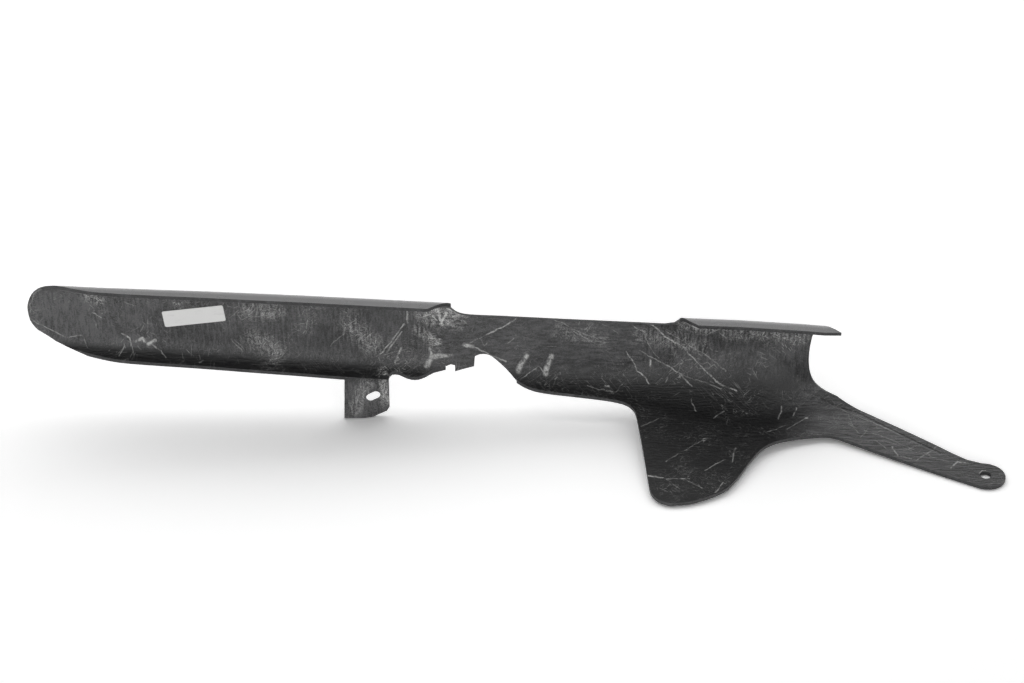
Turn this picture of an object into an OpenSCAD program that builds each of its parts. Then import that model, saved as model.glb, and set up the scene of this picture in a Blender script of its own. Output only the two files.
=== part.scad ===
// Motorcycle chain guard: a one-piece moulded shell with a label stuck inside it.
// Units are millimetres. The shape is drawn lying on its side plates, as photographed:
// X runs from the nose to the rear bolt, Y points away from the open side, Z is up.
// The finished part is moved so that the rear bolt hole is the origin.

/* [Shell] */
// Length of the cover, from the nose to the end of its wall
cover_l = 444.6; // [420:1:470]
// Thickness of the moulded wall
wall_t = 2; // [1.6:0.1:2.4]
// Depth of the top lip, from the back of the cover to its near edge
lip_depth = 16.2; // [14:0.1:18]
// Outer radius between the top lip and the cover wall
lip_r = 12; // [10:0.5:13]
// Outer radius of the lower corner along the front run
corner_r = 14; // [12:0.5:15]
// Outer radius of the lower corner where it runs out into the side plate
valley_r = 37; // [30:1:39]
// Depth of the lower curl along the front run
curl_depth = 12.2; // [9:0.1:13]
// Height of the lip above the bench at the nose
nose_height = 85.2; // [82:0.1:88]
// Height of the lip above the bench at the rear end
rear_height = 58.6; // [56:0.1:62]
// Distance from the cover's back to the side plate's resting line
plate_reach = 106; // [100:1:114]

/* [Rear bolt hole] */
// Diameter of the rear bolt hole
bolt_d = 6.4; // [6:0.1:7]
// Radius of the arm's rounded tip
tip_r = 11; // [10.5:0.1:12]
// Distance from the end of the cover's wall to the bolt hole, along the guard
arm_run = 91.4; // [86:0.5:97]
// Distance from the cover's back to the bolt hole, across the guard
arm_reach = 73.6; // [70:0.5:77]

/* [Front tab] */
// Width of the tab that carries the slotted hole
tab_w = 25.4; // [22:0.2:27]
// Length of the slotted hole, end to end
slot_l = 8.4; // [7:0.1:10]
// Width of the slotted hole
slot_w = 5.4; // [4.5:0.1:6]
// Tilt of the slotted hole along the tab
slot_tilt = 22; // [10:1:35]
// Length of the tab below the curl
tab_h = 25.2; // [24:0.1:26]
// Lean of the tab towards the open side
tab_lean = 7; // [4:0.5:9]

/* [Label] */
// Length of the label
label_l = 35; // [30:0.5:40]
// Height of the label
label_h = 10.4; // [8:0.1:12]
// Thickness of the label
label_t = 0.2; // [0.15:0.05:0.4]

/* [Hidden] */
nose_x = 11.4;
// The tables below are drawn for this length of cover, and stretch with the chosen one
drawn_l = 444.6;
run = cover_l / drawn_l;
rear_x = (nose_x + drawn_l) * run;
hole_x = rear_x + arm_run;
hole_y = -arm_reach;
x_first = 6 * run;
x_last = hole_x + 15;
x_rows = 93;
far = 3;
tab_x = 201.9 * run;
label_x = 105 * run;
label_turn = 7;
label_share = 0.63;
// Lower corner of the cover: height of its outer face above the bench along X
corner_z = [[0, 39], [68, 33.7], [312, 14.5], [372, 9.8], [414, 6.6], [450, 4.1],
            [480, 2.1], [520, 0.6], [540, 0], [700, 0]];
// Share of the way from the front corner radius to the valley radius along X
valley = [[0, 0], [312, 0], [345, 0.14], [372, 0.38], [392, 0.66], [406, 0.88], [418, 1],
          [430, 0.86], [442, 0.42], [452, 0.08], [460, 0], [700, 0]];
// Crest of the cover, as a share of the drop from the nose to the rear end
crest = [[0, -0.01], [32, 0], [54, 0.05], [110, 0.135], [166, 0.24], [222, 0.365],
         [248, 0.425], [385, 0.81], [414, 0.86], [450, 0.96], [461, 1], [700, 1]];
// Near edge of the top lip, in plan, as a share of its depth
lip_edge = [[15, 0.14], [22, 0.22], [30, 0.4], [36, 0.59], [45, 0.76], [55, 0.85],
            [79, 0.92], [112, 0.96], [166, 0.99], [237.5, 1]];
// Near edge of the lower curl, in plan, as a share of its depth
curl_edge = [[15, 0.15], [19.3, 0.23], [30, 0.45], [41, 0.63], [52, 0.81], [62, 0.92],
             [78, 0.95], [107, 0.95], [136, 0.98], [164, 1], [187, 1.03]];

function lip_z(x) = nose_height - (nose_height - rear_height) * lookup(x / run, crest);
function low_z(x) = lookup(x / run, corner_z);
function low_r(x) = corner_r + (valley_r - corner_r) * lookup(x / run, valley);
function slope(x) = atan(low_z(x) / (plate_reach - low_r(x)));
function corner_top(x) = low_r(x) / cos(slope(x)) + low_z(x);
// Outline points stretched along X with the cover's length
function on(points) = [for (p = points) [p[0] * run, p[1]]];
// Outline points given as a drop below the lip
function under_lip(points) = [for (p = points) [p[0] * run, lip_z(p[0] * run) - p[1]]];
// A smooth curve through points, in n steps between each pair
function curve(p, n = 3) = concat([for (i = [0:len(p) - 2]) for (k = [0:n - 1]) let(
    t = k / n, a = p[max(i - 1, 0)], b = p[i], c = p[i + 1], d = p[min(i + 2, len(p) - 1)])
  (2 * b + (c - a) * t + (2 * a - 5 * b + 4 * c - d) * t * t + (3 * b - a - 3 * c + d) * t * t * t) / 2],
  [p[len(p) - 1]]);
function between(a, b, share, aside = [0, 0]) = a + (b - a) * share + aside;

// One cross-section at x: its points [y, z] and the directions towards the outer face
lip_n = 2;
arc_n = 6;
wall_n = 2;
low_n = 9;
plate_n = 3;
function section(x) = let(
    h = lip_z(x), r = low_r(x), s = slope(x), zc = corner_top(x),
    y1 = -r + r * sin(s), z1 = zc - r * cos(s), reach = plate_reach + 14 + y1)
  concat(
    [for (i = [0:lip_n - 1]) [-20 + (20 - lip_r) * i / lip_n, h, 0, 1]],
    [for (i = [0:arc_n]) let(a = 90 - 90 * i / arc_n)
      [-lip_r + lip_r * cos(a), h - lip_r + lip_r * sin(a), cos(a), sin(a)]],
    [for (i = [1:wall_n - 1]) [0, h - lip_r + (zc - h + lip_r) * i / wall_n, 1, 0]],
    [for (i = [0:low_n]) let(a = (90 - s) * i / low_n)
      [-r + r * cos(a), zc - r * sin(a), cos(a), -sin(a)]],
    [for (i = [1:plate_n]) let(d = reach * i / plate_n)
      [y1 - d, z1 - d * tan(s), sin(s), -cos(s)]]);
rows = [for (i = [0:x_rows]) x_first + (x_last - x_first) * i / x_rows];
outer = [for (x = rows) each [for (p = section(x)) [x, p[0], p[1]]]];
inner = [for (x = rows) each [for (p = section(x)) [x, p[0] - wall_t * p[2], p[1] - wall_t * p[3]]]];
cols = len(section(x_first));
shift = len(outer);
function at(i, j) = i * cols + j;

module moulding() {
  m = len(rows) - 1;
  n = cols - 1;
  polyhedron(concat(outer, inner), concat(
    [for (i = [0:m - 1]) for (j = [0:n - 1]) each [
      [at(i, j), at(i, j + 1), at(i + 1, j + 1)], [at(i, j), at(i + 1, j + 1), at(i + 1, j)],
      [shift + at(i, j), shift + at(i + 1, j + 1), shift + at(i, j + 1)],
      [shift + at(i, j), shift + at(i + 1, j), shift + at(i + 1, j + 1)]]],
    [for (i = [0:m - 1]) each [
      [at(i, 0), at(i + 1, 0), shift + at(i + 1, 0)], [at(i, 0), shift + at(i + 1, 0), shift + at(i, 0)],
      [at(i, n), shift + at(i + 1, n), at(i + 1, n)], [at(i, n), shift + at(i, n), shift + at(i + 1, n)]]],
    [for (j = [0:n - 1]) each [
      [at(0, j), shift + at(0, j + 1), at(0, j + 1)], [at(0, j), shift + at(0, j), shift + at(0, j + 1)],
      [at(m, j), at(m, j + 1), shift + at(m, j + 1)], [at(m, j), shift + at(m, j + 1), shift + at(m, j)]]]),
    convexity = 6);
}

// Outline of the lower curl, the lobe and the arm, seen from above
arm_root_back = [485, -13.2];
arm_root_front = [481, -46.8];
hole = [hole_x, hole_y];
tip_back = hole + tip_r * [0.5, 0.86];
tip_front = hole - tip_r * [0.6, 0.8];
module low_plan() {
  polygon(concat(
    [[460.5 * run, far], [4 * run, far], [4 * run, -1.5]],
    curve([for (k = curl_edge) [k[0] * run, -k[1] * curl_depth]], 2),
    [[tab_x + tab_w / 2 - 0.2, -1.03 * curl_depth]],
    on(curve([[215, -8.8], [216.6, -7.1], [220, -6.9], [223.5, -8.2], [227.5, -9.4], [231.5, -9],
      [235.5, -7.2], [240, -4.8], [247, -3.2]], 2)),
    on([[251, -5.6], [265, -5.6], [284, -5]]),
    on(curve([[288, -7.2], [292, -9.5], [297, -11.7], [303, -13], [313, -14], [325, -15], [335.3, -16],
      [342, -17], [348, -18.6], [352.2, -21.4], [354.6, -25.4], [355.6, -30.5], [356.4, -38.5],
      [357.5, -50], [359.4, -75], [360.3, -87]], 2)),
    on([for (a = [190:10:262]) [373, -88] + 12.6 * [cos(a), sin(a)]]),
    on(curve([[373, -100.5], [382, -99.2], [391, -95.7], [398.5, -91.5], [404, -87], [410.2, -78.2],
      [417, -66.2], [424, -55.4], [430, -49.6], [436, -45.9], [443, -43], [450.6, -40.7], [458.5, -39],
      [465, -38.9], [471, -41], arm_root_front])),
    [for (k = [1:3]) between(arm_root_front * run, tip_front, k / 4, [0.3, -0.5])],
    [tip_front, hole, tip_back],
    curve([tip_back, between(tip_back, arm_root_back * run, 0.17, [-2.2, -3.4]),
      between(tip_back, arm_root_back * run, 0.42, [-1.1, -2]),
      between(tip_back, arm_root_back * run, 0.7, [-0.2, -0.8]), arm_root_back * run,
      [479 * run, -9], [474 * run, -6.1], [469 * run, -3.6], [464 * run, -1.4]], 2)));
  translate(hole) circle(r = tip_r, $fn = 60);
}
// Outline of the top lip, seen from above
module lip_plan() {
  d = lip_depth;
  polygon(concat(
    [[456.5 * run, far], [4 * run, far], [4 * run, -1.5]],
    curve([for (k = lip_edge) [k[0] * run, -k[1] * d]], 2),
    on([[244.2, -0.64 * d], [249.3, -0.34 * d], [253, -2.9], [258, -2.6], [374, -2.6], [377.6, -3.2],
     [380.5, -0.34 * d], [384.6, -0.72 * d], [389.6, -0.98 * d], [470, -0.98 * d], [465.5, -0.66 * d],
     [461, -0.34 * d], [458, -1.8]])));
}
// A side-view outline drawn in X and Z, made solid along Y
module side(outline) { translate([0, 30, 0]) rotate([90, 0, 0]) linear_extrude(60) polygon(outline); }

// The lip's outline trims the shell above this slanting line, and the lower outline below it
split_nose = nose_height - lip_r - 5;
split_rear = rear_height - lip_r - 5;
module cut_regions() {
  intersection() {
    translate([0, 0, -5]) linear_extrude(100) low_plan();
    translate([0, far + 1, 0]) rotate([90, 0, 0]) linear_extrude(130)
      polygon([[0, -5], [x_last + 9, -5], [x_last + 9, split_rear], [0, split_nose]]);
  }
  intersection() {
    translate([0, 0, 30]) linear_extrude(70) lip_plan();
    translate([0, far + 1, 0]) rotate([90, 0, 0]) linear_extrude(60)
      polygon([[0, split_nose - 2], [x_last + 9, split_rear - 2], [x_last + 9, 120], [0, 120]]);
  }
}
module nose_cut() {
  side(on(concat([[0, 20], [14, 20], [22, 42]], curve([[24, 42.8], [19, 47.9], [14.6, 53], [12, 58],
    [11.4, 63]], 2), under_nose)));
}
under_nose = concat(curve([[11.3, nose_height - 20.5], [11.9, nose_height - 16], [14.2, nose_height - 11],
  [18.2, nose_height - 6.6], [23.4, nose_height - 3.4], [29, nose_height - 1.5]], 2),
  [[36, nose_height + 0.3], [42, nose_height + 6], [0, nose_height + 6]]);
module top_cut() {
  side(concat(under_lip(curve([[250.6, 7.6], [253.4, 10.4], [257.4, 11.8], [264, 12.1], [278, 11.7]], 2)),
    under_lip([[312, 11.1], [346, 10.3], [372, 9.7], [377, 8.3], [379.4, 5.4], [381, 0]]),
    under_lip([[381.6, -12], [250.2, -12]])));
}
module notch_cut() {
  side(on(concat([[247, 5], [247, 27.8], [250, 28.8], [252.4, 28.2], [252.4, 25.4], [263.3, 27.5]],
    curve([[263.8, 33.6], [266.4, 34.9], [270, 35.1], [273.4, 33.6], [277.4, 29.8], [284, 23.6],
      [287.6, 20.2]], 2),
    [[287.6, 5]])));
}
module rear_cut() {
  side(on(concat(curve([[474, 8], [466, 10.2], [461.8, 12.8], [458.6, 16.4], [456.4, 22], [455.2, 28],
    [454.8, 36], [455.4, 44], [456.6, 50], [459, 53]], 2), [[463, rear_height - 4], [500, rear_height - 4],
    [500, 8]])));
}

// Bent tab: a flat half beside a half that turns back, leaning towards the open side
module tab() {
  fold = tab_w / 12;
  translate([tab_x, -1.03 * curl_depth, low_z(tab_x) + wall_t]) rotate([-tab_lean, 0, 0]) difference() {
    intersection() {
      translate([0, 0, -30]) linear_extrude(31) polygon([
        [-tab_w / 2 - 1, -0.4], [-fold, 0], [tab_w / 2, 2.9], [tab_w / 2, 2.9 + wall_t],
        [-fold, wall_t], [-tab_w / 2 - 1, wall_t - 0.4]]);
      side([[-tab_w / 2 + 0.3, 0.2], [-tab_w / 2 - 0.5, 0.2 - tab_h], [-1, -tab_h], [3.4, 0.3 - tab_h],
            [tab_w / 2 - 1.4, 3.4 - tab_h], [tab_w / 2, 5.6 - tab_h], [tab_w / 2, 0.2]]);
    }
    translate([3.6, 0, -12]) rotate([0, -slot_tilt, 0]) rotate([90, 0, 0]) hull() {
      for (s = [-1, 1]) translate([s * (slot_l - slot_w) / 2, 0, 0])
        cylinder(d = slot_w, h = 20, center = true, $fn = 32);
    }
  }
}
module bolt_hole() { translate([hole_x, hole_y, -4]) cylinder(d = bolt_d, h = 12, $fn = 64); }

module placed() { translate([-hole_x, -hole_y, -wall_t / 2]) children(); }

module guard_shell() {
  color([0.09, 0.09, 0.095]) placed() difference() {
    union() {
      difference() {
        intersection() { moulding(); cut_regions(); }
        nose_cut();
        top_cut();
        notch_cut();
        rear_cut();
      }
      tab();
    }
    bolt_hole();
  }
}
// The label is centred between the two curved corners' ends, a little above the middle
label_z = corner_top(label_x) + (lip_z(label_x) - lip_r - corner_top(label_x)) * label_share;
module label() {
  color([0.93, 0.93, 0.92]) placed() translate([label_x, -wall_t, label_z]) rotate([0, -label_turn, 0])
    rotate([90, 0, 0]) linear_extrude(label_t) offset(r = 1, $fn = 24)
      square([label_l - 2, label_h - 2], center = true);
}

guard_shell();
label();
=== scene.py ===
"""Dresses a motorcycle chain guard: a satin black moulded shell, scuffed inside, with a blank label."""

import math

import bmesh
import bpy
from bpy.props import FloatProperty, FloatVectorProperty, PointerProperty
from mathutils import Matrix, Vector


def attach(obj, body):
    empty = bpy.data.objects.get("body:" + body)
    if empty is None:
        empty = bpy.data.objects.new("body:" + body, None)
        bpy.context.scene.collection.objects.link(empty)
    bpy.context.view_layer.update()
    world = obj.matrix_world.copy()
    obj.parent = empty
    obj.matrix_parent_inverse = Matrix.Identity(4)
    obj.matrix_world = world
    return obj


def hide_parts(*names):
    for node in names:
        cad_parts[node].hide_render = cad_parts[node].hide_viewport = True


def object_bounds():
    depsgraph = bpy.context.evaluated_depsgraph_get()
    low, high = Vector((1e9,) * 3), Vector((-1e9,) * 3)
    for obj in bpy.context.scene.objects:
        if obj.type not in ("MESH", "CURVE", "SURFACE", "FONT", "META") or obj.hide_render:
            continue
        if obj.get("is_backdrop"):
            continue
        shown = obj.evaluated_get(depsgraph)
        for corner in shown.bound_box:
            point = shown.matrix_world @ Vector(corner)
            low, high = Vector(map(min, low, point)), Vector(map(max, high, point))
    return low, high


bl_info = {
    "name": "Chain guard",
    "version": (1, 0, 0),
    "blender": (4, 5, 0),
    "location": "3D View > Sidebar > Chain guard",
    "description": "Moulded motorcycle chain guard with a scuffed inside and a blank label",
    "category": "Object",
}

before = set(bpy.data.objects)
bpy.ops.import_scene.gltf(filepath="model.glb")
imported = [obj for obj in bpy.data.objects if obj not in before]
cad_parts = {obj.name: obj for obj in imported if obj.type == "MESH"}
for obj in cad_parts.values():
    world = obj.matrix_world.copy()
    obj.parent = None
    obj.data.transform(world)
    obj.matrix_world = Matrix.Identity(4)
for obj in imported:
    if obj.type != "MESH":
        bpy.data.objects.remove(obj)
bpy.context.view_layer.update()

MM = 0.001
# Where the rear bolt hole stands in the drawing of part.scad
HOLE = Vector((547.4, -73.6, 1.0)) * MM

# The moulding's form along X, as in part.scad, in millimetres
NOSE_HEIGHT, REAR_HEIGHT = 85.2, 58.6
LIP_R, CORNER_R, VALLEY_R, REACH = 12.0, 14.0, 37.0, 106.0
CORNER_Z = ((0, 39), (68, 33.7), (312, 14.5), (372, 9.8), (414, 6.6), (450, 4.1), (480, 2.1), (520, 0.6),
            (540, 0), (600, 0))
VALLEY = ((0, 0), (312, 0), (345, 0.14), (372, 0.38), (392, 0.66), (406, 0.88), (418, 1), (430, 0.86),
          (442, 0.42), (452, 0.08), (460, 0), (600, 0))
CREST = ((0, -0.01), (32, 0), (54, 0.05), (110, 0.135), (166, 0.24), (222, 0.365), (248, 0.425), (385, 0.81),
         (414, 0.86), (450, 0.96), (461, 1), (600, 1))

# Marks on the inside: width and strength, then points in millimetres (X and Z on the cover, X and Y on the plate)
COVER_MARKS = (
    (0.6, 0.32, -535.1, 62.5, -534.5, 67.9, -531.8, 74.2, -528.1, 77.8, -522.9, 79.1, -516.2, 78.7,
     -508.6, 76.6, -500.9, 73.7),
    (0.7, 0.45, -533, 56, -525, 52, -516, 46, -507, 47), (0.5, 0.3, -507, 47, -504, 41),
    (0.9, 0.5, -502, 74, -495, 70), (0.6, 0.5, -499, 74, -493, 70), (0.9, 0.8, -499, 62, -495, 59),
    (0.5, 0.4, -498, 56, -497, 52), (0.5, 0.25, -481, 69, -474, 66), (0.9, 0.8, -484, 48, -480, 45, -479, 41),
    (0.6, 0.5, -483, 41, -485, 37), (1.8, 0.95, -476, 43, -473, 45, -472, 43), (2.0, 1.0, -470, 42, -466, 44),
    (0.6, 0.5, -468, 42, -462, 39, -459, 36), (0.6, 0.35, -422, 44, -416, 36), (0.5, 0.25, -420, 44, -415, 37),
    (0.5, 0.3, -354, 53, -366, 40), (0.9, 0.65, -322, 63, -321, 55), (0.9, 0.75, -323, 54, -331, 42, -338, 34),
    (0.8, 0.65, -324, 49, -334, 35), (1.1, 0.8, -326, 38, -329, 30), (0.5, 0.35, -323, 37, -336, 33),
    (2.8, 0.85, -311, 27, -309, 32, -297, 33), (1.3, 0.8, -309, 32, -310, 38), (1.1, 0.8, -310, 45, -303, 44),
    (1.6, 0.9, -299, 66, -292, 62), (1.2, 1.0, -300, 62, -303, 55), (1.2, 1.0, -294, 66, -289, 62),
    (1.6, 0.95, -305, 65, -302, 54), (2.2, 1.0, -290, 40, -285, 39), (0.8, 0.7, -285, 39, -276, 35, -266, 29),
    (0.9, 0.9, -260, 58, -269, 52, -277, 47), (0.5, 0.4, -277, 47, -286, 41), (0.6, 0.35, -265, 42, -261, 45),
    (0.5, 0.35, -280, 44, -278, 40, -276, 42), (3.2, 0.85, -254, 33, -258, 25), (2.7, 0.9, -240, 33, -243, 22),
    (0.5, 0.5, -258, 21, -247, 25, -243, 21), (0.5, 0.25, -256, 35, -248, 40, -237, 39),
    (0.3, 0.4, -219, 17, -212, 15.5, -204, 15, -199, 16.5), (0.45, 0.7, -209, 16, -207, 16),
    (0.5, 0.35, -239, 58, -221, 48, -207, 44), (0.5, 0.3, -211, 55, -202, 48), (0.5, 0.35, -227, 50, -213, 40),
    (0.7, 0.8, -197, 35, -191, 24, -184, 18), (0.5, 0.45, -195, 54, -187, 49, -185, 41, -178, 31),
    (0.8, 0.75, -184, 54, -175, 46, -163, 38), (0.7, 0.7, -167, 41, -155, 28, -146, 21, -134, 16),
    (0.7, 0.6, -190, 37, -175, 27, -166, 22, -160, 18), (0.5, 0.4, -166, 22, -143, 18),
    (1.0, 0.9, -183, 30, -183, 26), (0.7, 0.6, -173, 20, -174, 18), (0.7, 0.5, -143, 52, -152, 47),
    (1.7, 1.0, -163, 56, -157, 52), (1.3, 1.0, -158, 57, -152, 53), (0.5, 0.4, -116, 48, -102, 43),
    (0.6, 0.5, -160, 12, -158, 10), (0.6, 0.4, -142, 10, -148, 9), (0.7, 0.6, -109, 8, -111, 6),
    (0.6, 0.5, -100, 6, -102, 5), (0.6, 0.4, -155, 36, -140, 25), (0.5, 0.3, -176, 50, -155, 36))
PLATE_MARKS = (
    (0.7, 0.4, -190, 35, -179, 42), (0.5, 0.3, -177, 6, -164, 18, -154, 27), (0.6, 0.45, -155, 0, -144, 9),
    (0.7, 0.4, -138, 19, -140, 7), (1.0, 0.7, -187, -6, -179, -7), (0.7, 0.5, -177, -8, -164, -7),
    (0.6, 0.45, -166, -8, -158, -15), (0.8, 0.5, -146, -10, -151, -18), (0.7, 0.5, -118, 34, -107, 42),
    (0.6, 0.5, -107, 38, -95, 50), (1.2, 0.8, -95, 50, -94, 50), (0.6, 0.45, -74, 62, -40, 36),
    (0.5, 0.4, -70, 46, -28, 19), (0.5, 0.35, -54, 32, -18, 12), (1.0, 0.5, -48, 25, -47, 17),
    (0.9, 0.6, -18, 6, -13, 13, -8, 11),
    (0.7, 0.3, -67.3, 28.7, -57.9, 31.9, -51.0, 23.6, -42.1, 22.9, -31.2, 28.6),
    (0.6, 0.25, -68.8, 55.4, -68.0, 43.9, -65.2, 37.4), (0.6, 0.3, -54.6, 39.7, -49.6, 43.6, -44.1, 42.1),
    (0.8, 0.35, -45.3, 16.3, -36.7, 13.6, -28.9, 20.5, -22.3, 27.3), (0.5, 0.25, -59.3, 43.2, -65.6, 33.5),
    (1.0, 0.22, -91.5, 35.5, -79.3, 32.7, -66.7, 24.9, -50.0, 14.2, -35.7, 4.8, -19.3, -4.7),
    (0.6, 0.25, -17.4, -2.9, -14.2, -7.4, -10.0, -8.8), (0.6, 0.6, -3.4, 1.4, -1.8, 4.4, 0.4, 4.5),
    (0.8, 0.8, -109, 56, -111, 47), (0.7, 0.6, -100, 59, -102, 51), (0.7, 0.6, -160, 57, -158, 50),
    (0.8, 0.6, -142, 49, -148, 43))
# Where fine scuffs lie close together on the cover
SCUFFED = (
    (16, 1, -310, 63, -296, 59), (9, 1, -164, 55, -151, 52), (7, 0.8, -315, 50, -306, 42),
    (14, 0.5, -409, 44, -398, 37), (12, 0.5, -410, 65, -396, 63), (7, 0.8, -501, 73, -495, 70),
    (14, 0.5, -354, 54, -342, 40), (10, 0.28, -235, 50, -212, 44), (12, 0.35, -190, 47, -155, 40),
    (12, 0.5, -139, 50, -99, 46), (6, 0.9, -336, 25, -335, 8), (8, 0.5, -352, 5, -346, 20))
# The crease along the arm's rear edge: a groove in the bump, with a dark line painted in as shade in the groove
CREASE = ((2.0, 1.0, -84, 67, -63, 56.5, -42, 37.5, -22, 20),)
# The nose's lower corner is rounded by planes along Y: a point in the drawing's X and Z, and the way out
CORNER_CUTS = ((25.5, 45.4, -0.54, -0.84), (25.5, 45.4, -0.383, -0.924))

# The front tab: a point in it, the way its outer face looks, and how far and how high its faces reach
TAB, TAB_OUT = Vector((-0.346, 0.06, 0.012)), Vector((0.1, 1, -0.1))
TAB_REACH, TAB_TOP = 0.019, 0.0245
# Corners this near to the tab keep their flat faces
TAB_FLAT_REACH, TAB_FLAT_TOP = 0.021, 0.026

# Material slots of the moulding; the inside's zones follow from INSIDE on
OUTSIDE, EDGE, INSIDE = 0, 1, 2
# A face that leans this much towards the outer face's direction, or away from it, isn't a cut edge
LEAN = 0.8
# Edges sharper than this are rounded
SHARP = math.radians(48)

# The view: the point aimed at, and the lens in pixels of the photograph's width
AIM = Vector((-0.2624, 0.0927, 0.029))
LENS_PX, PHOTO_PX, SENSOR = 2413.8, 1024, 36.0


def segments(table, low=-600, high=100):
    """The pieces of the marks that touch low..high along X, each from one point to the next."""
    pieces = []
    for width, strength, *points in table:
        ends = list(zip(points[::2], points[1::2]))
        for one, two in zip(ends, ends[1:]):
            if low - 4 < max(one[0], two[0]) and min(one[0], two[0]) < high + 4:
                pieces.append((*one, *two, width, strength))
    return pieces


# Zones of the inside, so that no shader holds more marks than it can: name, ends along X, and the plane seen
ZONE_ENDS = (-499, -455, -345, -309, -281, -256, -222, -187, -166, -145)
PLATE_ENDS = (-145, -90, -58, -30)
ZONES = [("cover_%d" % i, low, high, "Y") for i, (low, high) in
         enumerate(zip((-600,) + ZONE_ENDS, ZONE_ENDS + (100,)))]
ZONES += [("plate_%d" % i, low, high, "Z") for i, (low, high) in
          enumerate(zip((-200,) + PLATE_ENDS, PLATE_ENDS + (100,)))]


class GuardSettings(bpy.types.PropertyGroup):
    """Sizes and colours of the guard's pieces."""
    edge: FloatProperty(name="Edge rounding", description="Width of the rounding on the moulding's cut edges",
                        default=0.35 * MM, min=0, max=1 * MM, unit="LENGTH")
    inside: FloatVectorProperty(name="Inside colour", description="Colour of the bare laminate inside",
                                default=(0.010, 0.010, 0.0103), min=0, max=1, size=3, subtype="COLOR")
    # Laid inside where the laminate is dusty and rubbed, and also by zone as painted light, with painted shade
    # where it is left out.
    haze: FloatVectorProperty(name="Haze colour", description="Colour of the laminate where it is dusty and rubbed",
                              default=(0.098, 0.098, 0.100), min=0, max=1, size=3, subtype="COLOR")
    outside: FloatVectorProperty(name="Outside colour", description="Colour of the lacquered outside",
                                 default=(0.012, 0.012, 0.013), min=0, max=1, size=3, subtype="COLOR")
    scuff: FloatVectorProperty(name="Scuff colour", description="Colour of the scratches and dried resin",
                               default=(0.62, 0.62, 0.61), min=0, max=1, size=3, subtype="COLOR")
    paper: FloatVectorProperty(name="Label colour", description="Colour of the blank label",
                               default=(0.82, 0.82, 0.81), min=0, max=1, size=3, subtype="COLOR")


class StageSettings(bpy.types.PropertyGroup):
    """The bench, the light and the camera."""
    daylight: FloatProperty(name="Daylight", description="Strength of the white room around the guard",
                            default=0.30, min=0, max=3)
    ceiling: FloatProperty(name="Dark ceiling", description="How much darker gloss sees the room overhead",
                           default=0.7, min=0, max=1)
    lamp: FloatProperty(name="Top lamp", description="Power of the wide soft lamp above and behind", default=14.0,
                        min=0, max=100, unit="POWER")
    fill: FloatProperty(name="Front fill", description="Power of the low fill lamp in front", default=10.0,
                        min=0, max=100, unit="POWER")
    lift: FloatProperty(name="Bench lift", description="How much brighter camera and gloss see the lit bench",
                        default=0.5, min=0, max=2)
    distance: FloatProperty(name="Camera distance", description="From the camera to the guard's middle",
                            default=1.4, min=0.5, max=4, unit="LENGTH")
    height: FloatProperty(name="Camera height", description="Angle of the view below the horizontal",
                          default=math.radians(33), min=0, max=math.pi / 2, unit="ROTATION")


class Sock:
    """A number, vector or colour in a shader, with the maths written as operators."""

    def __init__(self, tree, out):
        self.tree, self.out = tree, out

    def node(self, kind, inputs=(), out=0, **settings):
        """Adds a node: settings first, then the values or links of its sockets."""
        n = self.tree.nodes.new(kind)
        for key, value in settings.items():
            setattr(n, key, value)
        for key, value in dict(inputs).items():
            if isinstance(value, Sock):
                self.tree.links.new(value.out, n.inputs[key])
            else:
                n.inputs[key].default_value = value
        return Sock(self.tree, n.outputs[out])

    def math(self, operation, *values, clamp=False):
        return self.node("ShaderNodeMath", enumerate(values), operation=operation, use_clamp=clamp)

    def __add__(self, other):
        return self.math("ADD", self, other)

    def __sub__(self, other):
        return self.math("SUBTRACT", self, other)

    def __rsub__(self, other):
        return self.math("SUBTRACT", other, self)

    def __mul__(self, other):
        return self.math("MULTIPLY", self, other)

    __radd__, __rmul__ = __add__, __mul__

    def clamp(self):
        return self.math("ADD", self, 0.0, clamp=True)

    def max(self, other):
        return self.math("MAXIMUM", self, other)

    def min(self, other):
        return self.math("MINIMUM", self, other)

    def band(self, low, high, to_low=0.0, to_high=1.0):
        """Turns the range low..high smoothly into to_low..to_high."""
        return self.node("ShaderNodeMapRange", {0: self, 1: low, 2: high, 3: to_low, 4: to_high},
                         interpolation_type="SMOOTHSTEP")

    def mix(self, low, high):
        """Self is the share of the second colour."""
        return self.node("ShaderNodeMix", {0: self, 6: low, 7: high}, out=2, data_type="RGBA")

    def vec(self, operation, *values, out=0):
        return self.node("ShaderNodeVectorMath", enumerate(values), out=out, operation=operation)

    def dot(self, other):
        return self.vec("DOT_PRODUCT", self, other, out=1)

    def along(self, way):
        """A way, a vector, scaled by this number."""
        return self.node("ShaderNodeVectorMath", {0: way, 3: self}, operation="SCALE")

    def xyz(self):
        """The three numbers of a vector."""
        return [Sock(self.tree, part) for part in self.node("ShaderNodeSeparateXYZ", {0: self}).out.node.outputs]

    def bump(self, strength, distance):
        return self.node("ShaderNodeBump", {"Strength": strength, "Distance": distance, "Height": self})

    def noise(self, scale, detail=3.0, rough=0.5, stretch=(1, 1, 1), distortion=0.0, shift=(0, 0, 0)):
        place = self.node("ShaderNodeMapping", {0: self, 1: shift, 3: stretch}, vector_type="POINT")
        return self.node("ShaderNodeTexNoise", {"Vector": place, "Scale": scale, "Detail": detail,
                                                "Roughness": rough, "Distortion": distortion})


def material(name):
    """A new material with its shader, its start socket and the object's coordinates."""
    m = bpy.data.materials.new(name)
    m.use_nodes = True
    tree = m.node_tree
    shader = tree.nodes["Principled BSDF"]
    place = Sock(tree, tree.nodes.new("ShaderNodeTexCoord").outputs["Object"])
    return m, shader, place


def feed(shader, **values):
    """Links or sets the shader's sockets, named as in base_color."""
    for name, value in values.items():
        socket = shader.inputs[name.replace("_", " ").title() if name != "IOR" else name]
        if isinstance(value, Sock):
            shader.id_data.links.new(value.out, socket)
        else:
            socket.default_value = value


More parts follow.
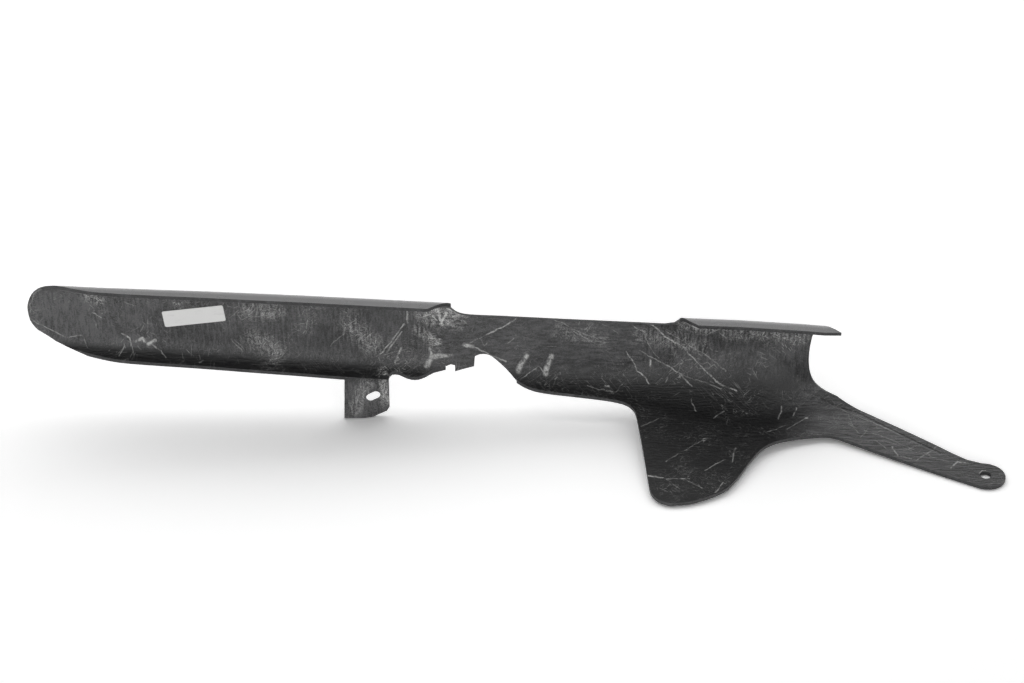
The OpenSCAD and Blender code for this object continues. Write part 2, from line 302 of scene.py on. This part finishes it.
def stroke_field(place, marks, flat):
    """Scuff marks as soft lines between two ends, seen flat along one axis."""
    total = None
    for x1, b1, x2, b2, width, strength in marks:
        start = Vector((x1, 0, b1) if flat == "Y" else (x1, b1, 0)) * MM
        way = Vector((x2 - x1, 0, b2 - b1) if flat == "Y" else (x2 - x1, b2 - b1, 0)) * MM
        offset = place.vec("SUBTRACT", place, start)
        share = (offset.dot(way) * (1 / way.length_squared)).clamp()
        away = offset.vec("DISTANCE", offset, share.along(way), out=1)
        mark = away.band(0.75 * width * MM, 0.12 * width * MM, 0.0, strength)
        total = mark if total is None else total.max(mark)
    return total


def scratches(flat, per_metre, half, width, share):
    """Short straight scuffs thrown at random, one in each cell of a pattern, in some of the cells."""
    cell = flat.node("ShaderNodeTexVoronoi", {"Vector": flat, "Scale": per_metre}, voronoi_dimensions="2D").out.node
    colour, centre = Sock(flat.tree, cell.outputs["Color"]), Sock(flat.tree, cell.outputs["Position"])
    way = colour.vec("MULTIPLY", colour.vec("SUBTRACT", colour, (0.5, 0.5, 0.5)), (1, 1, 0))
    way = way.vec("NORMALIZE", way)
    offset = flat.vec("SUBTRACT", flat, centre)
    nearest = offset.dot(way).max(-half * MM).min(half * MM).along(way)
    chosen = colour.dot((0, 0, 1)).band(1 - share, 1.0)
    return offset.vec("DISTANCE", offset, nearest, out=1).band(0.8 * width * MM, 0.15 * width * MM) * chosen


def hairlines(place, turns):
    """Long fine scratches, each family along its own direction, in patches."""
    total = None
    for i, (turn, scale) in enumerate(turns):
        turned = place.node("ShaderNodeMapping", {0: place, 1: (0.11 * i, 0.07 * i, 0.05 * i),
                                                  2: (0, turn, -turn)}, vector_type="POINT")
        cell = turned.noise(1.0, 1.0, 0.4, stretch=(24 * scale, 520 * scale, 520 * scale))
        middle = cell - 0.5
        line = middle.math("ABSOLUTE", middle).band(0.012, 0.001)
        hair = line * turned.noise(22 + 6 * i, 2.0, 0.5, shift=(i, 0, i)).band(0.5, 0.66)
        total = hair if total is None else total.max(hair)
    return total


def carbon_inside(settings, zone):
    """The bare inside of the laminate: satin, streaked by fibres, with dried resin and scratches.
    Each zone of the inside holds its own few marks, so that no shader grows too long."""
    name, low, high, flat_along = ZONES[zone]
    m, shader, place = material("bare_laminate_" + name)
    x, y, z = place.xyz()
    facing = Sock(place.tree, place.tree.nodes.new("ShaderNodeNewGeometry").outputs["Normal"])
    # Faces that look up: their streaks run lengthwise, and the haze on the wall leaves them out, as painted shade.
    flat = facing.xyz()[2].band(0.45, 0.8)
    upright = 1 - flat

    # The marks, wandering a little off their straight lines and broken up
    wobble = place.noise(60, 3.0, 0.6).band(0.1, 0.9, -1.5 * MM, 1.5 * MM)
    other = place.noise(75, 3.0, 0.6, shift=(5, 2, 3)).band(0.1, 0.9, -1.5 * MM, 1.5 * MM)
    bend = place.node("ShaderNodeCombineXYZ", {0: wobble, 1: other, 2: other})
    warped = place.vec("ADD", place, bend)
    seen = warped.vec("MULTIPLY", warped, (1, 0, 1) if flat_along == "Y" else (1, 1, 0))
    grain = place.noise(1500, 2.0, 0.7)
    broken = place.noise(300, 3.0, 0.7).band(0.36, 0.6, 0.15, 1.0)
    table = COVER_MARKS if flat_along == "Y" else PLATE_MARKS
    strokes = stroke_field(seen, segments(table, low, high), flat_along) * broken * grain.band(0.2, 0.55)
    dense = segments(SCUFFED, low, high) if flat_along == "Y" else ()
    clumps = place.noise(38, 3.0, 0.6, shift=(1, 4, 2)).band(0.5, 0.72)
    packed = 0.0
    if dense:
        packed = stroke_field(seen, dense, flat_along)
        clumps = clumps.max(packed * place.noise(160, 3.0, 0.6).band(0.3, 0.6) * 2.2)

    # Random scuffs, close together in the clumps, and long hairlines
    b = z if flat_along == "Y" else y
    sheet = place.node("ShaderNodeCombineXYZ", {0: x + wobble * 0.5, 1: b + other * 0.5})
    fine = scratches(sheet, 210, 2.4, 0.42, 0.7).max(scratches(sheet, 430, 1.2, 0.36, 0.8))
    long = hairlines(place, ((0.50, 1.0), (-0.62, 0.9), (0.36, 1.3)))

    mottle = place.noise(48, 5.0, 0.68).band(0.28, 0.74)
    # The streaks lie along the waist and stand upright on the rest of the wall
    weave = (160, 700, 520) if -309 <= low < -187 else (700, 700, 110)
    fibres = place.noise(1.0, 3.0, 0.65, stretch=weave, distortion=0.4, shift=(3, 1, 2)).band(0.36, 0.68)
    lengthwise = place.noise(1.0, 3.0, 0.65, stretch=(130, 750, 750), shift=(0.7, 0.7, 0)).band(0.38, 0.7)
    streaks = fibres * upright + lengthwise * flat
    # All that is pale on the laminate
    scuffs = (strokes + fine * clumps * (0.42 if flat_along == "Y" else 0.2) + long * (0.22 + clumps * 0.3)
              + streaks * grain.band(0.4, 0.62) * packed * 0.95).clamp()
    # The haze lies on the wall, more towards the nose, on the arm, less towards its tip, and on the tab.
    # It is partly dust and rubbing and partly painted light, paler where these faces show lit;
    # the low band and the upward faces such as the lobe get none, which is painted shade under the wall.
    wall = (x.band(-0.40, -0.53) * 0.3 + 0.7) * z.band(0.010, 0.034) * upright
    arm = x.band(-0.115, -0.085) * x.band(0.0, -0.06, 0.16, 0.55)
    tab = x.band(-0.37, -0.36) * x.band(-0.33, -0.332) * (1 - z.band(0.02, 0.026))
    haze = wall.max(arm).max(tab)
    haze = (haze * 0.97 + 0.03) * (0.02 + mottle * 0.62 + streaks * 0.7 + clumps * 0.3 + (grain - 0.5) * 2.2)
    height = streaks * 0.6 + mottle * 0.5 + scuffs * 0.5 + grain * 0.3
    if flat_along == "Z":
        # The crease darkens the haze along its line, painted shade in the groove, and sinks the bump
        crease = segments(CREASE, low, high)
        crease_groove_and_shade = stroke_field(place.vec("MULTIPLY", place, (1, 1, 0)), crease, "Z") if crease else 0.0
        # On the arm the haze follows the wrinkles, paler along them, partly the fibres' own tone and partly painted
        # highlight; the arm also gets more mottled haze, partly dust and partly painted light.
        waves = place.noise(1.0, 3.0, 0.6, stretch=(45, 230, 230), distortion=1.5, shift=(2, 5, 1))
        wrinkles, on_arm = waves.band(0.36, 0.66), x.band(-0.11, -0.085)
        haze = haze * (1 - on_arm * (0.45 - wrinkles))
        haze = haze * (1 - crease_groove_and_shade) + x.band(-0.11, -0.09) * x.band(0.0, -0.04) * mottle * streaks * 0.3
        height = height - crease_groove_and_shade * 2.0 + wrinkles * on_arm * 1.2
    base = haze.clamp().mix((*settings.inside, 1), (*settings.haze, 1))
    colour = scuffs.mix(base, (*settings.scuff, 1))
    rough = (0.30 + mottle * 0.08 + streaks * 0.08 + scuffs * 0.25).clamp()
    feed(shader, base_color=colour, roughness=rough, normal=height.bump(0.5, 0.0006), IOR=1.5)
    return m


def carbon_outside(settings):
    """The moulded outside: dark and smooth under a thin satin lacquer, with fine rubs from handling."""
    m, shader, place = material("lacquered_outside")
    haze = place.noise(34, 4.0, 0.6).band(0.3, 0.7)
    dust = place.noise(1500, 2.0, 0.7).band(0.62, 0.8)
    rubs = hairlines(place, ((0.06, 1.0), (-0.25, 1.2))) * place.noise(300, 3.0, 0.7).band(0.36, 0.6)
    tone = settings.outside
    colour = (haze * 0.5 + dust * 0.3 + rubs * 0.5).clamp().mix((*tone, 1), tuple(c * 4 for c in tone) + (1,))
    height = haze * 0.6 + dust * 0.15 - rubs * 0.4
    rough = 0.22 + haze * 0.08 + dust * 0.1 + rubs * 0.15
    feed(shader, base_color=colour, roughness=rough, normal=height.bump(0.1, 0.0005), IOR=2.15)
    return m


def carbon_edge(settings):
    """The trimmed edge of the laminate: sanded plies, a little paler."""
    m, shader, place = material("trimmed_edge")
    plies = place.noise(700, 3.0, 0.7).band(0.3, 0.75)
    wear = place.noise(120, 3.0, 0.6).band(0.5, 0.75)
    tone = settings.inside
    colour = (plies * 0.5 + wear * 0.5).mix(tuple(c * 1.6 for c in tone) + (1,), tuple(c * 9 for c in tone) + (1,))
    feed(shader, base_color=colour, roughness=0.45 + plies * 0.15, normal=plies.bump(0.2, 0.0003), IOR=1.5)
    return m


def label_paper(settings):
    """Matt label stock, left blank, with a few faint rubs."""
    m, shader, place = material("label_paper")
    fibre = place.noise(1400, 3.0, 0.6)
    rub = place.noise(160, 3.0, 0.6, stretch=(1, 1, 3)).band(0.58, 0.74)
    tone = settings.paper
    colour = (rub * 0.35 + fibre * 0.08).mix((*tone, 1), tuple(c * 0.72 for c in tone) + (1,))
    feed(shader, base_color=colour, roughness=0.55, normal=fibre.bump(0.08, 0.0002), IOR=1.45)
    return m


def along(table, x):
    """The value of a table at x, on straight lines between its points."""
    for (x1, v1), (x2, v2) in zip(table, table[1:]):
        if x <= x2:
            return v1 + (v2 - v1) * max(0.0, (x - x1) / (x2 - x1))
    return table[-1][1]


def outer_gap(x, y, z):
    """How far a point of the drawing, in millimetres, lies outside the moulding's outer face."""
    lip = NOSE_HEIGHT - (NOSE_HEIGHT - REAR_HEIGHT) * along(CREST, x)
    if z > lip - LIP_R:
        return math.hypot(y + LIP_R, z - lip + LIP_R) - LIP_R if y > -LIP_R else z - lip
    low, r = along(CORNER_Z, x), CORNER_R + (VALLEY_R - CORNER_R) * along(VALLEY, x)
    tilt = math.atan(low / (REACH - r))
    centre = r / math.cos(tilt) + low
    if z > centre:
        return y
    u, v = y + r, centre - z
    if math.atan2(v, u) < math.pi / 2 - tilt:
        return math.hypot(u, v) - r
    y1, z1 = -r + r * math.sin(tilt), centre - r * math.cos(tilt)
    return (y - y1) * math.sin(tilt) - (z - z1) * math.cos(tilt)


def face_direction(point):
    """The smooth direction out of the moulding's outer face near a point of the frame."""
    x, y, z = (point + HOLE) / MM
    slope = (outer_gap(x + 7, y, z) - outer_gap(x - 7, y, z)) / 14
    return Vector((slope, (outer_gap(x, y + 0.4, z) - outer_gap(x, y - 0.4, z)) / 0.8,
                   (outer_gap(x, y, z + 0.4) - outer_gap(x, y, z - 0.4)) / 0.8)).normalized()


def inside_zone(middle):
    """The zone of ZONES that a face of the inside belongs to, by its middle."""
    low_down = middle.z < 0.0125 or middle.x > -0.088 or middle.z < 0.022 and middle.y < 0.048
    if low_down and middle.x > -0.2:
        return len(ZONE_ENDS) + 1 + sum(middle.x > end * MM for end in PLATE_ENDS)
    return sum(middle.x > end * MM for end in ZONE_ENDS)


def dress_shell(settings):
    """A smoothed, edge-rounded copy of the moulding, with its own finish inside, outside and on the edges."""
    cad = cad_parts["guard_shell"]
    mesh = cad.data.copy()
    mesh.materials.clear()
    shell = bpy.data.objects.new("moulded_shell", mesh)
    bpy.context.scene.collection.objects.link(shell)
    for finish in (carbon_outside(settings), carbon_edge(settings)):
        mesh.materials.append(finish)
    for zone in range(len(ZONES)):
        mesh.materials.append(carbon_inside(settings, zone))
    bm = bmesh.new()
    bm.from_mesh(mesh)
    bmesh.ops.remove_doubles(bm, verts=bm.verts, dist=1e-6)
    for x, z, out_x, out_z in CORNER_CUTS:
        cut = bmesh.ops.bisect_plane(bm, geom=bm.verts[:] + bm.edges[:] + bm.faces[:], dist=1e-7,
                                     plane_co=Vector((x, 0, z)) * MM - Vector((HOLE.x, 0, HOLE.z)),
                                     plane_no=(out_x, 0, out_z), clear_outer=True)
        rim = [e for e in cut["geom_cut"] if isinstance(e, bmesh.types.BMEdge)]
        bmesh.ops.triangle_fill(bm, edges=rim, use_beauty=True)
    sharp = [e for e in bm.edges if len(e.link_faces) == 2 and e.calc_face_angle() > SHARP]
    bmesh.ops.bevel(bm, geom=sharp, offset=settings.edge, segments=2, profile=0.6, affect="EDGES",
                    clamp_overlap=True)
    bm.normal_update()
    for face in bm.faces:
        face.smooth = True
        middle = face.calc_center_median()
        on_tab = (middle - TAB).length < TAB_REACH and middle.z < TAB_TOP
        lean = face.normal.dot(TAB_OUT if on_tab else face_direction(middle))
        if lean < -LEAN:
            face.material_index = INSIDE + inside_zone(middle)
        else:
            face.material_index = OUTSIDE if lean > LEAN else EDGE
    bm.to_mesh(mesh)
    bm.free()
    normals = []
    mesh.update()
    for poly in mesh.polygons:
        near_tab = (poly.center - TAB).length < TAB_FLAT_REACH and poly.center.z < TAB_FLAT_TOP
        for i in poly.loop_indices:
            if poly.material_index == EDGE:
                normals.append(mesh.corner_normals[i].vector[:])
            elif near_tab:
                normals.append(poly.normal[:])
            else:
                out = face_direction(mesh.vertices[mesh.loops[i].vertex_index].co)
                normals.append((out if poly.material_index == OUTSIDE else -out)[:])
    mesh.normals_split_custom_set(normals)
    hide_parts("guard_shell")
    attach(shell, "root")
    return shell


def dress_label(settings):
    """The label keeps its solid and gets its paper."""
    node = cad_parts["label"]
    node.data.materials.clear()
    node.data.materials.append(label_paper(settings))
    return node


def seen_plainly(tree):
    """One for camera, glossy and transmission rays, and nought for the light that falls on things."""
    rays = tree.nodes.new("ShaderNodeLightPath")
    start = Sock(tree, rays.outputs["Is Camera Ray"])
    return start.max(Sock(tree, rays.outputs["Is Glossy Ray"])).max(Sock(tree, rays.outputs["Is Transmission Ray"]))


def white_room(settings):
    """Soft white light all round, which camera and gloss see at full strength, with a darker ceiling for gloss."""
    world = bpy.data.worlds.new("white_room")
    world.use_nodes = True
    tree = world.node_tree
    back = tree.nodes["Background"]
    shows = seen_plainly(tree)
    sky = Sock(tree, tree.nodes.new("ShaderNodeTexCoord").outputs["Generated"])
    overhead = sky.xyz()[2].band(0.62, 0.95)
    dim = Sock(tree, tree.nodes.new("ShaderNodeLightPath").outputs["Is Glossy Ray"]) * overhead * settings.ceiling
    strength = shows.band(0.0, 1.0, settings.daylight, 1.0) - dim
    back.inputs["Color"].default_value = (1, 1, 1, 1)
    tree.links.new(strength.out, back.inputs["Strength"])
    return world


def sweep_paint(settings):
    """White paint for the bench. Camera and gloss see it paler, and whiter still far off, without more light."""
    m, shader, place = material("white_sweep")
    tree = m.node_tree
    shows = seen_plainly(tree)
    behind, around = place.xyz()[1].band(0.5, 1.8), place.vec("LENGTH", place, out=1).band(0.9, 2.2)
    feed(shader, base_color=(0.86, 0.86, 0.86, 1), roughness=0.9, emission_strength=shows * 0.6,
         emission_color=behind.max(around).mix((0, 0, 0, 1), (1, 1, 1, 1)))
    shader.inputs["Specular IOR Level"].default_value = 0.0
    lift = shows.node("ShaderNodeBsdfDiffuse", {"Color": shows.mix((0, 0, 0, 1), (settings.lift,) * 3 + (1,))})
    both = shows.node("ShaderNodeAddShader", {0: Sock(tree, shader.outputs["BSDF"]), 1: lift})
    tree.links.new(both.out, tree.nodes["Material Output"].inputs["Surface"])
    return m


def bench_sweep(settings):
    """A bench that curves up into a backdrop, under the guard's lowest point."""
    run, radius, far, top = 1.6, 0.9, 2.5, 2.6
    gap, middle, across = 0.0002, -0.26, (-3.2, -1.1, 0.0, 1.1, 3.2)
    profile = [(-far, 0.0)] + [(run * i / 6, 0.0) for i in range(-6, 7)]
    for i in range(1, 13):
        turn = math.pi / 24 * i
        profile.append((run + radius * math.sin(turn), radius - radius * math.cos(turn)))
    profile.append((far, top))
    bench_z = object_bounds()[0][2] - gap
    mesh = bpy.data.meshes.new("bench")
    bm = bmesh.new()
    rows = [[bm.verts.new((x + middle, y, bench_z + z)) for y, z in profile] for x in across]
    for a, b in zip(rows, rows[1:]):
        for i in range(len(profile) - 1):
            bm.faces.new((a[i], b[i], b[i + 1], a[i + 1])).smooth = True
    bm.to_mesh(mesh)
    bm.free()
    bench = bpy.data.objects.new("bench", mesh)
    bpy.context.scene.collection.objects.link(bench)
    mesh.materials.append(sweep_paint(settings))
    bench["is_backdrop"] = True


def soft_lamp(name, size, power, offset):
    """A wide lamp that looks at the guard's middle and doesn't show in gloss."""
    lamp = bpy.data.lights.new(name, "AREA")
    lamp.shape = "RECTANGLE"
    lamp.size, lamp.size_y = size
    lamp.energy = power
    holder = bpy.data.objects.new(name, lamp)
    holder.location = AIM + Vector(offset)
    holder.visible_glossy = False
    holder.rotation_euler = (AIM - holder.location).to_track_quat("-Z", "Y").to_euler()
    bpy.context.scene.collection.objects.link(holder)


def build_stage(settings):
    """White room, pale bench, two soft lamps and the camera."""
    scene = bpy.context.scene
    scene.view_settings.view_transform = "Standard"
    scene.world = white_room(settings)
    bench_sweep(settings)
    soft_lamp("top_box", (2.6, 1.2), settings.lamp, (-0.1, 0.62, 1.08))
    soft_lamp("front_fill", (1.8, 0.4), settings.fill, (0.1, -1.5, 0.26))

    camera = bpy.data.cameras.new("camera")
    camera.sensor_width = SENSOR
    camera.lens = LENS_PX / PHOTO_PX * SENSOR
    camera.clip_end = 20
    eye = bpy.data.objects.new("camera", camera)
    away = Vector((0, -math.cos(settings.height), math.sin(settings.height)))
    eye.location = AIM + away * settings.distance
    eye.rotation_euler = (math.pi / 2 - settings.height, 0, 0)
    scene.collection.objects.link(eye)
    scene.camera = eye


class GUARD_OT_shell(bpy.types.Operator):
    """Dress the moulded shell."""
    bl_idname = "guard.shell"
    bl_label = "Moulded shell"

    def execute(self, context):
        dress_shell(context.scene.guard)
        return {"FINISHED"}


class GUARD_OT_label(bpy.types.Operator):
    """Dress the blank label."""
    bl_idname = "guard.label"
    bl_label = "Blank label"

    def execute(self, context):
        dress_label(context.scene.guard)
        return {"FINISHED"}


class GUARD_OT_stage(bpy.types.Operator):
    """Build the bench, the light and the camera."""
    bl_idname = "guard.stage"
    bl_label = "Stage"

    def execute(self, context):
        build_stage(context.scene.guard_stage)
        return {"FINISHED"}


class GUARD_PT_panel(bpy.types.Panel):
    """The guard's pieces and sizes."""
    bl_label = "Chain guard"
    bl_space_type = "VIEW_3D"
    bl_region_type = "UI"
    bl_category = "Chain guard"

    def draw(self, context):
        for group in (context.scene.guard, context.scene.guard_stage):
            for name in group.bl_rna.properties.keys():
                if name not in ("rna_type", "name"):
                    self.layout.prop(group, name)
        for operator in (GUARD_OT_shell, GUARD_OT_label, GUARD_OT_stage):
            self.layout.operator(operator.bl_idname)


CLASSES = (GuardSettings, StageSettings, GUARD_OT_shell, GUARD_OT_label, GUARD_OT_stage, GUARD_PT_panel)


def register():
    for cls in CLASSES:
        bpy.utils.register_class(cls)
    bpy.types.Scene.guard = PointerProperty(type=GuardSettings)
    bpy.types.Scene.guard_stage = PointerProperty(type=StageSettings)


def unregister():
    del bpy.types.Scene.guard_stage
    del bpy.types.Scene.guard
    for cls in reversed(CLASSES):
        bpy.utils.unregister_class(cls)


def main():
    register()
    bpy.ops.guard.stage()
    bpy.ops.guard.shell()
    bpy.ops.guard.label()
    bpy.context.view_layer.update()


if __name__ == "__main__":
    main()
